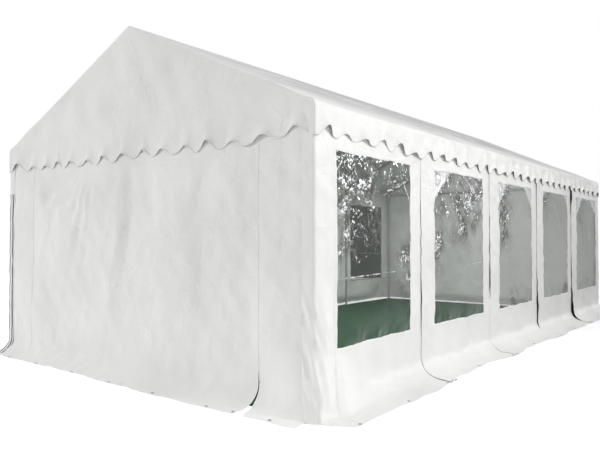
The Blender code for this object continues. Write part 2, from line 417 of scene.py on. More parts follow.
# Upright folds of the end wall: where each starts to fall inward, how wide it falls and rises, its depth
END_FOLDS = (
    (-1.75, 0.20, 0.45, 0.012),
    (-0.26, 0.30, 0.62, 0.034),
    (0.98, 0.16, 0.40, 0.013),
    (1.62, 0.14, 0.22, 0.009),
)
CORNER_BULGE = 0.028
CREASE = 0.288  # from the corner, behind its roll
PULL_HEIGHT = 0.90
PULL_PEG = 0.38
SIDE_REACH = (1.09, 0.80, 0.86, 0.92, 0.96)

# Where the foot of a corner's cloth is drawn to: distance along the cloth, and the pull outward each way
PULL_PLACES = (-0.10, 0.0, 0.285, 0.40, 0.62, 1.05)
PULL_SIDEWAYS = (0.15, 0.135, 0.305, 0.435, 0.41, 0.39)
PULL_ENDWAYS = (0.175, 0.135, 0.32, 0.355, 0.18, 0.0)

# How far the edge of a side panel stands out over its neighbour, at heights up each joint
JOINT_HEIGHTS = (0.0, 0.08, 0.15, 0.40, 0.70, 0.90, 1.10, 1.40, 1.80, 2.10, 2.25, 2.42, 2.56)
JOINT_STANDS = (
    (0.003, 0.004, 0.005, 0.006, 0.010, 0.012, 0.009, 0.007, 0.006, 0.004, 0.003, 0.004, 0.0),
    (0.004, 0.003, 0.002, 0.002, 0.003, 0.012, 0.014, 0.009, 0.005, 0.004, 0.005, 0.008, 0.0),
    (0.000, 0.002, 0.014, 0.020, 0.018, 0.010, 0.006, 0.005, 0.006, 0.007, 0.011, 0.013, 0.0),
    (0.040, 0.044, 0.034, 0.020, 0.014, 0.012, 0.014, 0.007, 0.008, 0.008, 0.020, 0.022, 0.0),
)
JOINT_GAPS = (-0.004, -0.003, -0.002, -0.001)
SKIRT_OPENINGS = (0.040, 0.034, 0.006, 0.060)


def profile(drop):
    """Outward distance and height of a wall sheet a given length down from its top, and its normal."""
    angle = np.clip((drop - STRAIGHT) / FLARE, 0, math.pi / 2)
    flat = np.maximum(drop - STRAIGHT - BEND, 0)
    out = FLARE * (1 - np.cos(angle)) + flat
    upright = np.where(drop < STRAIGHT, WALL_TOP - drop, FLARE * (1 - np.sin(angle)))
    return out, upright + GROUND_CLEAR, np.cos(angle), np.sin(angle)


def on_ground(relief, drop, foot, ripple):
    """The same relief, but where the sheet lies on the ground only its slope down to its edge, and ripples."""
    lying = smooth((drop - STRAIGHT) / BEND)
    share = np.clip((foot - drop) / (foot - STRAIGHT - BEND), 0, 1)
    return relief * (1 - lying) + (SKIRT_LIFT * share + 0.004 * np.maximum(1 + ripple, 0)) * lying


def corner_frame(along):
    """Plan position and outward direction of the right wall, at a distance along it from the corner."""
    turn = np.clip((along + CORNER_RADIUS) / (2 * CORNER_RADIUS), 0, 1) * math.pi / 2 - math.pi / 2
    out_x, out_y = np.cos(turn), np.sin(turn)
    x = WALL_X + CORNER_RADIUS * (out_x - 1) + np.minimum(along + CORNER_RADIUS, 0)
    y = -WALL_Y + CORNER_RADIUS * (out_y + 1) + np.maximum(along - CORNER_RADIUS, 0)
    return x, y, out_x, out_y


def joint_number(joint, seed):
    """Which joint's shape is used: the far side has the same shapes in another order."""
    return joint - 1 if seed < 150 else (joint + 1) % (BAYS - 1)


def edge_stand(bay, across, drop, seed):
    """How far a panel stands out beside the joints at its two edges."""
    height = profile(drop)[1]
    stand = 0.0
    for joint, away, shares in ((bay, across, (1.0, 0.11)), (bay + 1, BAY - across, (-0.25, 0.08))):
        if 0 < joint < BAYS:
            heights = np.interp(height, JOINT_HEIGHTS, JOINT_STANDS[joint_number(joint, seed)])
            heights = heights * (1 + 0.25 * waves(seed + 60 + joint, 0.35)(0 * drop, drop))
            stand = stand + shares[0] * heights * np.exp(-(away / shares[1]) ** 2)
    return stand


def side_relief(bay, along, drop, seed):
    """How far the side wall stands out from its plane."""
    across = along + HALF_LENGTH - WALL_Y - BAY * bay
    height = WALL_TOP - drop
    inside = np.minimum(across - WINDOW_START, WINDOW_END - across)
    inside = np.minimum(inside, np.minimum(height - WINDOW_LOW.z, WINDOW_HIGH.z - height))
    free = np.sin(math.pi * np.clip(across / BAY, 0, 1))
    loose = smooth(drop / 0.9) * smooth(height / 0.8)
    shown = smooth((drop - 0.25) / 0.35) * (1 - 0.85 * smooth(inside / 0.15))
    relief = BILLOW * free * loose * (0.8 + 0.5 * waves(seed, 3.0)(along, drop))
    relief = relief + shown * free * 0.007 * waves(seed + 1, 0.42)(along, drop)
    relief = relief + shown * 0.0026 * waves(seed + 2, 0.16)(along, drop)
    relief = relief + edge_stand(bay, across, drop, seed)
    return on_ground(relief, drop, SIDE_DROP, waves(seed + 4, 0.22)(along, drop))


def corner_folds(near, height, seed):
    """The cloth at a near corner: a full roll with a crease behind it, and folds drawn to its peg."""
    low = smooth((1.25 - height) / 0.6)
    roll = 0.045 * smooth((near + 0.02) / 0.14) * (1 - smooth((near - CREASE + 0.09) / 0.085))
    roll = roll - 0.022 * np.exp(-((near - CREASE) / 0.018) ** 2)
    bent = near + 0.24 * height + 0.010 * waves(seed + 31, 0.4)(near, height)
    drawn = (0.5 + 0.5 * np.sin(2 * math.pi * bent / 0.072)) ** 1.6
    drawn = drawn * (1 + 0.6 * waves(seed + 32, 0.3)(near, height)) * smooth((0.22 - near) / 0.12)
    return low * smooth(height / 0.10) * (roll + 0.014 * drawn) + 0.0035


def skirt_reach(near, bay, seed):
    """How far the side skirt reaches, as a share of its cut width; it is drawn in between the joints."""
    across = np.clip((near + HALF_LENGTH - WALL_Y) % BAY / BAY, 0, 1)
    drawn = (1 - SIDE_REACH[bay]) * np.sin(math.pi * across)
    turned = 1 - (1 - END_SKIRT / SIDE_SKIRT) * smooth((0.12 - near) / 0.15)
    return (1.0 - drawn + 0.03 * waves(seed + 7, 0.6)(near, 0 * near)) * turned


def side_points(bay, along, drop, lift=0.0, seed=100):
    """Points of the right side wall, which turns both of the tent's right corners."""
    far = along > WALL_Y
    near = np.where(far, 2 * WALL_Y - along, along)
    x, y, out_x, out_y = corner_frame(near)
    x = x + CORNER_BULGE * np.exp(-(near / 0.40) ** 2) * smooth((near + CORNER_RETURN) / 0.09)
    reached = np.where(drop > STRAIGHT, STRAIGHT + (drop - STRAIGHT) * skirt_reach(near, bay, seed), drop)
    out, height, outward, upward = profile(reached)
    rise = lift + side_relief(bay, along, drop, seed)
    start = WALL_TOP - PULL_HEIGHT
    pulled = np.clip((drop - start) / (SIDE_DROP - start), 0, 1)
    pull_x = np.interp(near, PULL_PLACES, PULL_SIDEWAYS) * pulled ** 2.3
    pull_y = -np.interp(near, PULL_PLACES, PULL_ENDWAYS) * pulled ** 2.3
    steep = 1 + ((SIDE_DROP - start) / PULL_HEIGHT - 1) * smooth((near - 0.02) / 0.22)
    pull_z = np.where(drop > start, PULL_HEIGHT * np.maximum(1 - steep * pulled, 0), WALL_TOP - drop)
    pull_z = pull_z + GROUND_CLEAR
    held = np.where(far, 0.0, 1 - smooth((near - PULL_PEG) / 0.60))
    rise = rise + corner_folds(near, pull_z, seed) * held
    x = x + (1 - held) * out_x * out + held * pull_x + out_x * outward * rise
    y = y + (1 - held) * out_y * out + held * pull_y + out_y * outward * rise
    z = (1 - held) * height + held * pull_z + upward * rise
    return np.stack([x, np.where(far, -y, y), z], axis=-1)


def fan_folds(x, drop, seed):
    """Folds that fan out down the end wall from the place where its top is pulled together."""
    run = FAN_HOLD[0] - x
    fall = drop - FAN_HOLD[1]
    reach = np.hypot(run, fall)
    angle = np.arctan2(fall, run) + 0.04 * waves(seed + 15, 0.6)(x, drop)
    shown = smooth((angle - 0.05) / 0.25) * (1 - smooth((angle - 1.25) / 0.35)) * smooth(reach / 0.3)
    return 0.010 * reach * np.exp(-(reach / 1.15) ** 4) * shown * np.sin(2 * math.pi * angle / 0.25)


def end_relief(x, drop, seed):
    """How far the end wall stands out from its plane."""
    free = smooth((WALL_X - np.abs(x)) / 0.5)
    loose = smooth(drop / 0.9) * smooth((WALL_TOP - drop) / 0.8)
    shown = smooth((drop - 0.28) / 0.35)
    x = x if seed < 250 else -x
    bent = x + 0.05 * waves(seed, 0.9)(x, drop)
    relief = 0.022 * free * loose * (1 + 0.6 * waves(seed + 1, 2.0)(x, drop))
    folds = 0.006 * waves(seed + 2, 0.30)(bent, 0.25 * drop) * np.exp(-(drop / 1.4) ** 2)
    for start, fall, rise, depth in END_FOLDS:
        folds = folds - depth * (smooth((bent - start) / fall) - smooth((bent - start - fall) / rise))
    relief = relief + shown * free * folds * smooth((WALL_TOP - drop - 0.25) / 0.6)
    relief = relief + shown * free * (0.016 * waves(seed + 5, 0.9)(x, 0.55 * drop) + fan_folds(x, drop, seed))
    relief = relief + shown * 0.0030 * waves(seed + 3, 0.22)(x, 0.7 * drop)
    return on_ground(relief, drop, END_DROP, waves(seed + 4, 0.22)(x, drop))


def end_points(x, drop, lift=0.0, seed=200):
    """Points of the front end wall."""
    reach = 0.93 + 0.17 * np.tanh(1.2 * x) + 0.03 * waves(seed + 7, 0.5)(x, 0 * x)
    reached = np.where(drop > STRAIGHT, STRAIGHT + (drop - STRAIGHT) * reach, drop)
    out, height, outward, upward = profile(reached)
    drawn = PULL_ENDWAYS[0] * np.clip(1 - height / PULL_HEIGHT, 0, 1) ** 2.3
    out = out + np.maximum(drawn - out, 0) * smooth((x - STRIP_X + 0.45) / 0.45)
    rise = lift + end_relief(x, drop, seed)
    return np.stack([x, -WALL_Y - out - outward * rise, height + upward * rise], axis=-1)


def warp_panel(bay, along, drop, seed):
    """Shift a panel's points within its plane: open joints, and window edges that wander."""
    across = along + HALF_LENGTH - WALL_Y - BAY * bay
    skirt = smooth((drop - STRAIGHT) / (SIDE_DROP - STRAIGHT))
    shift = 0.0
    for joint, away, way in ((bay, across, 1), (bay + 1, BAY - across, -1)):
        if 0 < joint < BAYS:
            kind = joint_number(joint, seed)
            opening = JOINT_GAPS[kind] + SKIRT_OPENINGS[kind] / 2 * skirt
            shift = shift + way * opening * np.exp(-away / 0.25)
    window_top = WALL_TOP - WINDOW_HIGH.z
    window_foot = WALL_TOP - WINDOW_LOW.z
    to_side = np.minimum(np.abs(across - WINDOW_START), np.abs(across - WINDOW_END))
    to_level = np.minimum(np.abs(drop - window_top), np.abs(drop - window_foot))
    wander = 0.005 * waves(seed + 11, 0.45)(along, drop) + 0.002 * waves(seed + 12, 0.10)(along, drop)
    rise = 0.004 * waves(seed + 13, 0.45)(along, drop) + 0.002 * waves(seed + 14, 0.10)(along, drop)
    along = along + shift + wander * np.exp(-(to_side / 0.07) ** 2)
    return along, drop + rise * np.exp(-(to_level / 0.07) ** 2)


def bay_start(bay):
    """Where a bay starts, as a distance along the side wall from its corner."""
    return WALL_Y - HALF_LENGTH + BAY * bay


def panel_parts(bay, seed):
    """A windowed side panel; those at the ends of the tent turn its corner."""
    start = bay_start(bay)
    left = -CORNER_RETURN if bay == 0 else start + PANEL_GAP / 20
    right = 2 * WALL_Y + CORNER_RETURN if bay == BAYS - 1 else start + BAY - PANEL_GAP / 20
    window_top = WALL_TOP - WINDOW_HIGH.z
    window_foot = WALL_TOP - WINDOW_LOW.z
    window = (start + WINDOW_START, start + WINDOW_END)
    near_corner = [-CORNER_RADIUS, CORNER_RADIUS, CREASE - 0.05, CREASE + 0.02] if bay == 0 else []
    far_corner = [2 * WALL_Y - CORNER_RADIUS, 2 * WALL_Y + CORNER_RADIUS] if bay == BAYS - 1 else []
    along = steps_through((left, *near_corner, *window, *far_corner, right), CELL, 7)
    drop = steps_through((0.0, window_top, window_foot, STRAIGHT, STRAIGHT + BEND, SIDE_DROP), CELL)
    middle_along = (along[:-1] + along[1:]) / 2
    middle_drop = (drop[:-1] + drop[1:]) / 2
    beside = (middle_along < window[0]) | (middle_along > window[1])
    above = (middle_drop < window_top) | (middle_drop > window_foot)
    along, drop = np.meshgrid(along, drop)
    points = side_points(bay, *warp_panel(bay, along, drop, seed), seed=seed)
    return grid_parts(points, above[:, None] | beside[None, :])


def window_band_parts(bay, seed):
    """The welded band round a window, on the outside of its panel."""
    start = bay_start(bay)
    window_top = WALL_TOP - WINDOW_HIGH.z
    window_foot = WALL_TOP - WINDOW_LOW.z
    rows = []
    for width, lift in ((-0.003, 0.0002), (0.0, 0.0012), (0.017, 0.0014), (0.034, 0.0012), (0.037, 0.0002)):
        corners = [
            (start + WINDOW_START - width, window_top - width),
            (start + WINDOW_START - width, window_foot + width),
            (start + WINDOW_END + width, window_foot + width),
            (start + WINDOW_END + width, window_top - width),
        ]
        loop = []
        for k, corner in enumerate(corners):
            count = 64 if k % 2 == 0 else 52
            ahead = np.array(corners[(k + 1) % 4])
            loop.extend(np.array(corner) + (ahead - corner) * step / count for step in range(count))
        loop.append(np.array(corners[0]))
        along, drop = np.array(loop).T
        rows.append(side_points(bay, *warp_panel(bay, along, drop, seed), lift=lift, seed=seed))
    return grid_parts(np.stack(rows)[::-1])


# Window film

FILM_LAP = 0.022
# Where each window of the right side is crumpled: across and up the window from 0 to 1, radius, strength
CRUMPLED = (
    ((0.22, 0.90, 0.30, 1.0), (0.10, 0.62, 0.20, 0.8), (0.95, 0.40, 0.16, 0.8), (0.82, 0.93, 0.15, 0.6)),
    ((0.05, 0.95, 0.22, 1.0), (0.80, 0.93, 0.24, 1.0), (0.50, 0.70, 0.20, 0.9), (0.04, 0.50, 0.12, 1.3)),
    ((0.08, 0.85, 0.22, 1.0), (0.15, 0.60, 0.14, 0.5), (0.40, 0.02, 0.10, 0.7)),
    ((0.12, 0.95, 0.16, 0.5), (0.85, 0.04, 0.10, 0.6)),
    ((0.20, 0.95, 0.20, 0.4),),
)
CREASE_DEPTH = 0.006
# Crease lines in each window: from and to, across and up it from 0 to 1, depth, and painted glare above the line
CREASES = (
    (
        ((0.76, 1.02), (1.02, 0.74), 0.006, 0.0),
        ((-0.02, 0.88), (0.16, 1.02), 0.005, 0.0),
        ((0.0, 0.345), (0.75, 0.36), 0.004, 0.0),
    ),
    (
        ((-0.02, 0.80), (0.32, 1.02), 0.008, 1.0),
        ((0.50, 1.02), (1.02, 0.78), 0.008, 0.12),
        ((0.48, 0.37), (1.0, 0.375), 0.003, 0.0),
    ),
    (
        ((0.72, 1.02), (1.02, 0.80), 0.008, 0.95),
        ((-0.02, 0.80), (0.24, 1.02), 0.006, 0.95),
        ((0.05, 0.05), (0.45, 0.10), 0.002, 0.0),
    ),
    (
        ((0.78, 1.02), (1.02, 0.88), 0.006, 0.9),
        ((0.40, 0.90), (0.98, 0.40), 0.003, 0.0),
        ((-0.02, 0.93), (0.14, 1.02), 0.004, 0.8),
    ),
    (
        ((-0.02, 0.78), (0.34, 1.02), 0.006, 1.0),
        ((0.66, 1.02), (1.02, 0.80), 0.005, 0.9),
        ((0.0, 0.45), (1.0, 0.30), 0.002, 0.0),
    ),
)


def crease_fields(bay, across, up, wide, tall):
    """For each crease of a window: how far points lie above its line, and how far they are past its ends."""
    for start, end, depth, haze in CREASES[bay]:
        start = np.array((start[0] * wide, start[1] * tall))
        run = np.array((end[0] * wide, end[1] * tall)) - start
        length = math.hypot(*run)
        along = ((across - start[0]) * run[0] + (up - start[1]) * run[1]) / length
        above = ((up - start[1]) * run[0] - (across - start[0]) * run[1]) / length
        past = np.maximum(np.maximum(-along, along - length), 0)
        yield above, past, depth, haze


def film_fields(bay, across, up, seed):
    """How far a window's film stands out, and its marks, at shares across and up the window."""
    wide = WINDOW_END - WINDOW_START
    tall = WINDOW_HIGH.z - WINDOW_LOW.z
    crumpled = 0.06 + 0 * across
    for spot_across, spot_up, radius, strength in CRUMPLED[bay]:
        near = np.hypot(across - spot_across, up - spot_up) / radius
        crumpled = crumpled + strength * np.exp(-near ** 2)
    across = across * wide
    up = up * tall
    crumpled = np.clip(crumpled * (1 + 0.5 * waves(seed + 21, 0.25)(across, up)), 0, 1)
    relief = 0.003 * waves(seed + 22, 0.8)(across, up)
    relief = relief + 0.0045 * crumpled * crumple(seed + 23, 0.17)(across, up)
    relief = relief + 0.0030 * crumpled * crumple(seed + 25, 0.08)(across, up)
    hazed = 0 * across
    offsets = []
    for above, past, depth, haze in crease_fields(bay, across, up, wide, tall):
        relief = relief + depth * np.exp(-np.hypot(above, past) / 0.02)
        hazed = np.maximum(hazed, haze * smooth(above / 0.02) * (1 - smooth(above / 0.5)))
        offsets.append((above + np.sign(above) * past) * CREASE_DEPTH / depth)
    inside = np.minimum(np.minimum(across, wide - across), np.minimum(up, tall - up))
    marks = {"crumpled": crumpled, "hazed": hazed, "crease": np.stack(offsets, axis=-1)}
    return relief * smooth(inside / 0.05) - 0.002, marks


def mark_points(piece, name, values):
    """Store a number or a vector for each point of a piece, for its material to read."""
    kind, field = ("FLOAT_VECTOR", "vector") if values.ndim == 3 else ("FLOAT", "value")
    mark = piece.data.attributes.new(name, kind, "POINT")
    mark.data.foreach_set(field, values.ravel().astype(np.float32))


def add_window(side, bay, film, seed):
    number = bay + 1 if side == "right" else BAYS - bay
    start = bay_start(bay)
    along = spread(start + WINDOW_START - FILM_LAP, start + WINDOW_END + FILM_LAP, FILM_CELL)
    drop = spread(WALL_TOP - WINDOW_HIGH.z - FILM_LAP, WALL_TOP - WINDOW_LOW.z + FILM_LAP, FILM_CELL)
    along, drop = np.meshgrid(along, drop)
    across = (along - start - WINDOW_START) / (WINDOW_END - WINDOW_START)
    up = (WALL_TOP - drop - WINDOW_LOW.z) / (WINDOW_HIGH.z - WINDOW_LOW.z)
    relief, marks = film_fields(bay, across, up, seed)
    points = side_points(bay, *warp_panel(bay, along, drop, seed), lift=relief, seed=seed)
    piece = make_piece(f"window_film_{side}_{number}", grid_parts(points), film, side == "left")
    for name, values in marks.items():
        mark_points(piece, name, values)
    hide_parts(f"window_{side}_{number}")


# Eyelets, dark strips of painted shade, and zips

EYELET = 0.014
EYELET_WIRE = 0.004
EYELET_FROM_EDGE = 0.030
CORNER_SHADE_TOP = 2.10


def ring_parts(centre, radius, wire, around=18, through=8):
    """A ring that lies flat on a sheet."""
    turn = np.linspace(0, 2 * math.pi, around + 1)[:, None]
    roll = np.linspace(0, 2 * math.pi, through + 1)[None, :]
    reach = radius + wire * np.cos(roll)
    ring = np.stack([reach * np.cos(turn), reach * np.sin(turn), 0.5 * wire * np.sin(roll) + 0 * turn], axis=-1)
    return grid_parts((centre + ring)[:, ::-1])


def disc_parts(centre, radius, around=18):
    """A flat disc."""
    turn = np.linspace(0, 2 * math.pi, around + 1)
    rim = centre + radius * np.stack([np.cos(turn), np.sin(turn), 0 * turn], axis=-1)
    hub = np.repeat(np.array(centre)[None, :], around + 1, axis=0)
    return grid_parts(np.stack([hub, rim]))


def add_eyelets(name, centres, steel, dark, turned):
    """Eyelets in a skirt: a steel ring, and the dark of its hole."""
    rings = join_parts([ring_parts(centre, EYELET, EYELET_WIRE) for centre in centres])
    holes = join_parts([disc_parts(centre + (0, 0, 0.0004), EYELET) for centre in centres])
    make_piece(f"eyelet_holes_{name}", holes, dark, turned, merge=1e-6)
    return make_piece(f"eyelets_{name}", rings, steel, turned, merge=1e-6)


def strip_parts(place, foot, edges, lifts, top=0.03):
    """A thin strip down a wall, between two edges and two distances from the wall's face."""
    stops = [top, *(stop for stop in (STRAIGHT, STRAIGHT + BEND) if stop < foot - 0.01), foot]
    drop = steps_through(stops, CELL)
    across = spread(*edges, 0.02)
    front = [place(drop, place_across, lifts[0]) for place_across in across]
    back = [place(drop, place_across, lifts[1]) for place_across in across[::-1]]
    return grid_parts(np.stack([*front, *back, front[0]]))


def add_side_strips(side, fabric, dark, seed):
    """Behind each joint of a side: a dark strip on a white flap; the strip is painted shade that makes the
    joint's gap look dark.
    """
    for joint in range(1, BAYS):
        number = joint if side == "right" else BAYS - joint

        def place(drop, across, lift, joint=joint):
            along = np.full_like(drop, bay_start(joint) + across)
            return side_points(joint - 1, along, drop, lift=lift, seed=seed)

        strip = strip_parts(place, SIDE_DROP - 0.02, (-0.05, 0.17), (-0.0040, -0.0050))
        flap = strip_parts(place, SIDE_DROP - 0.02, (-0.06, 0.18), (-0.0053, -0.0065))
        turned = side == "left"
        make_piece(f"painted_shade_strip_{side}_{number}", strip, dark, turned, merge=1e-6)
        make_piece(f"joint_flap_{side}_{number}", flap, fabric, turned, merge=1e-6)


def add_corner_shade(side, fabric, dark, seed):
    """A dark tape under a narrow white flap, at a side's far edge where it meets the end wall: painted shade,
    for the shaded edge of that corner.
    """

    def place(drop, across, lift):
        along = np.full_like(drop, 2 * WALL_Y + across)
        return side_points(BAYS - 1, along, drop, lift=lift, seed=seed)

    top = WALL_TOP - CORNER_SHADE_TOP
    foot = STRAIGHT + BEND
    tape = strip_parts(place, foot, (0.020, 0.079), (0.0014, 0.0004), top)
    flap = strip_parts(place, foot, (0.034, 0.068), (0.0030, 0.0020), top)
    make_piece(f"corner_shade_strip_{side}", tape, dark, side == "left", merge=1e-6)
    make_piece(f"corner_flap_{side}", flap, fabric, side == "left", merge=1e-6)


def add_side_walls(fabric, film, steel, dark):
    for side, seed in (("right", 100), ("left", 150)):
        add_side_strips(side, fabric, dark, seed)
        add_corner_shade(side, fabric, dark, seed)
        turned = side == "left"
        for bay in range(BAYS):
            number = bay + 1 if side == "right" else BAYS - bay
            parts = panel_parts(bay, seed)
            panel = make_piece(f"side_panel_{side}_{number}", parts, fabric, turned)
            thicken(panel)
            band_parts = window_band_parts(bay, seed)
            band = make_piece(f"window_band_{side}_{number}", band_parts, fabric, turned, 1e-6)
            along = bay_start(bay) + np.array([0.42 if bay == 0 else 0.07, BAY / 2, BAY - 0.07])
            drop = np.full(3, SIDE_DROP - EYELET_FROM_EDGE)
            centres = side_points(bay, *warp_panel(bay, along, drop, seed), lift=0.001, seed=seed)
            eyelets = add_eyelets(f"{side}_{number}", centres, steel, dark, turned)
            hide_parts(f"side_wall_{side}_{number}")
            add_window(side, bay, film, seed)


# End walls

STRIP_LAP = 0.035
SLIT_TOP = 0.36
SLIT_WIDTH = 0.012
ZIP_WIDTH = 0.007


def warp_end(part, x, drop):
    """Shift an end panel's points within its plane: the right zip stands open at its foot."""
    height = profile(drop)[1]
    low = np.clip((SLIT_TOP - height) / SLIT_TOP, 0, 1)
    skirt = np.clip((drop - STRAIGHT) / (END_DROP - STRAIGHT), 0, 1)
    near_zip = np.exp(-np.abs(x - ZIP_X) / 0.30)
    if part == "right":
        shift = SLIT_WIDTH * low * (1 - low) * 2 * near_zip
        share = (x - ZIP_X) / (WALL_X - ZIP_X)
        drawn = np.clip(1 - height / PULL_HEIGHT, 0, 1) ** 2.3
        shift = shift + PULL_SIDEWAYS[0] * drawn * share + 0.085 * skirt ** 2.2 * (1 - share)
    elif part == "door":
        shift = -(0.7 * SLIT_WIDTH * low ** 0.7 + 0.02 * skirt ** 2) * near_zip
    else:
        shift = skirt * np.interp(x, (-WALL_X, -ZIP_X), (-0.05, 0.0))
    return x + shift, drop


def add_zip(end, name, part, edge, fabric, seed, foot):
    """One row of a zip's teeth along a panel's edge, as a narrow bead."""

    def place(drop, across, lift):
        x, drop = warp_end(part, np.full_like(drop, edge + across), drop)
        return end_points(x, drop, lift=lift, seed=seed)

    inward = -ZIP_WIDTH if part == "door" else ZIP_WIDTH
    rows = [place(steps_through((0.03, STRAIGHT, foot), CELL), inward * share, lift)
            for share, lift in ((0.0, 0.0), (0.0, 0.0015), (0.5, 0.0022), (1.0, 0.0015), (1.0, 0.0))]
    rows = rows if part == "door" else rows[::-1]
    make_piece(f"zip_{end}_{name}_{part}", grid_parts(np.stack(rows)), fabric, end == "back")


def add_end_walls(fabric, steel, dark, zipper):
    spans = {
        "left": (-STRIP_X - STRIP_LAP, -ZIP_X - 0.0003),
        "door": (-ZIP_X, ZIP_X),
        "right": (ZIP_X + 0.0003, STRIP_X + STRIP_LAP),
    }
    for end, seed in (("front", 200), ("back", 250)):
        turned = end == "back"
        for part, (left, right) in spans.items():
            x = spread(left, right, CELL)
            drop = steps_through((0.0, STRAIGHT, STRAIGHT + BEND, END_DROP), CELL)
            x, drop = np.meshgrid(x, drop)
            points = end_points(*warp_end(part, x, drop), seed=seed)
            tucked = smooth((np.abs(x) - STRIP_X + 0.05) / 0.05) * 0.0045
            points[..., 1] += tucked
            panel = make_piece(f"end_panel_{end}_{part}", grid_parts(points), fabric, turned)
            thicken(panel)
            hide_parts(f"end_wall_{end}_{part}")
            count = 5 if part == "door" else 1
            places = np.linspace(left, right, 2 * count + 1)[1::2]
            if part == "door":
                places = np.append(places, right - 0.03)
            spots = warp_end(part, places, np.full(len(places), END_DROP - EYELET_FROM_EDGE))
            centres = end_points(*spots, lift=0.001, seed=seed)
            eyelets = add_eyelets(f"{end}_{part}", centres, steel, dark, turned)
        for side, edge in (("left", -ZIP_X), ("right", ZIP_X)):
            foot = WALL_TOP - SLIT_TOP if side == "right" else END_DROP - 0.02
            add_zip(end, side, side, edge, zipper, seed, foot)

            def place(drop, across, lift, edge=edge):
                return end_points(edge + across + 0 * drop, drop, lift=lift, seed=seed)

            foot = STRAIGHT + BEND * (0.45 if side == "right" else 0.95)
            flap = strip_parts(place, foot, (-0.03, 0.03), (-0.0053, -0.0065))
            make_piece(f"zip_flap_{end}_{side}", flap, fabric, turned, merge=1e-6)
            if side == "right":
                # Painted shade: a dark strip behind the zip, so that its open slit looks dark.
                strip = strip_parts(place, foot, (-0.025, 0.020), (-0.0040, -0.0050))
                make_piece(f"painted_shade_strip_{end}", strip, dark, turned, merge=1e-6)


# Materials

FILM_TINT = (0.07, 0.075, 0.07)
FILM_GRAZING_REFLECTION = (0.43, 0.43, 0.43)
CREASE_HIGHLIGHT = 0.9


def wire(tree, socket, value):
    """Link a socket to another one, or set its value."""
    if isinstance(value, bpy.types.NodeSocket):
        tree.links.new(value, socket)
    else:
        socket.default_value = value


def add_node(tree, kind, values=None, **settings):
    """A shader node with its settings, and its sockets set or linked by name."""
    made = tree.nodes.new("ShaderNode" + kind)
    for name, value in settings.items():
        setattr(made, name, value)
    for name, value in (values or {}).items():
        wire(tree, made.inputs[name], value)
    return made


def maths(tree, operation, first, second=0.0, clamp=False):
    made = add_node(tree, "Math", operation=operation, use_clamp=clamp)
    wire(tree, made.inputs[0], first)
    wire(tree, made.inputs[1], second)
    return made.outputs[0]


def mix_colors(tree, factor, first, second):
    made = add_node(tree, "Mix", data_type="RGBA")
    wire(tree, made.inputs[0], factor)
    wire(tree, made.inputs[6], first)
    wire(tree, made.inputs[7], second)
    return made.outputs[2]


def ramp(tree, value, low, high, to_low=0.0, to_high=1.0):
    """Map a value from one range to another, held at both ends."""
    values = {"Value": value, "From Min": low, "From Max": high, "To Min": to_low, "To Max": to_high}
    return add_node(tree, "MapRange", values).outputs[0]


def noise(tree, place, scale, detail=2.0, distortion=0.0):
    values = {"Vector": place, "Scale": scale, "Detail": detail, "Distortion": distortion}
    return add_node(tree, "TexNoise", values).outputs[0]


def cracks(tree, place, scale):
    """Distance to the nearest edge of a net of random cells."""
    values = {"Vector": place, "Scale": scale}
    return add_node(tree, "TexVoronoi", values, feature="DISTANCE_TO_EDGE").outputs[0]


def bent_place(tree, place, scale, strength):
    """The place, bent about by a noise, so that a pattern on it has no straight lines."""
    offset = add_node(tree, "TexNoise", {"Vector": place, "Scale": scale, "Detail": 2.0}).outputs[1]
    scaled = add_node(tree, "VectorMath", {0: offset, "Scale": strength}, operation="SCALE").outputs[0]
    return add_node(tree, "VectorMath", {0: place, 1: scaled}, operation="ADD").outputs[0]


def new_material(name):
    material = bpy.data.materials.new(name)
    material.use_nodes = True
    tree = material.node_tree
    place = add_node(tree, "TexCoord").outputs["Object"]
    return material, tree, tree.nodes["Principled BSDF"], place


def bump(tree, height, strength, distance, under=None):
    values = {"Height": height, "Strength": strength, "Distance": distance}
    if under is not None:
        values["Normal"] = under
    return add_node(tree, "Bump", values).outputs[0]


def packing_folds(tree, place):
    """Faint straight creases left by packing: high along the lines of a coarse grid."""
    bent = bent_place(tree, place, 1.2, 0.05)
    split = add_node(tree, "SeparateXYZ", {0: bent})
    lines = 0.0
    for axis, spacing in ((0, 0.62), (1, 0.62), (2, 0.47)):
        share = maths(tree, "FRACT", maths(tree, "DIVIDE", split.outputs[axis], spacing))
        away = maths(tree, "ABSOLUTE", maths(tree, "SUBTRACT", share, 0.5))
        lines = maths(tree, "MAXIMUM", lines, ramp(tree, away, 0.0, 0.03, 1.0, 0.0))
    return maths(tree, "MULTIPLY", lines, ramp(tree, noise(tree, place, 2.2, 2.0), 0.42, 0.62))


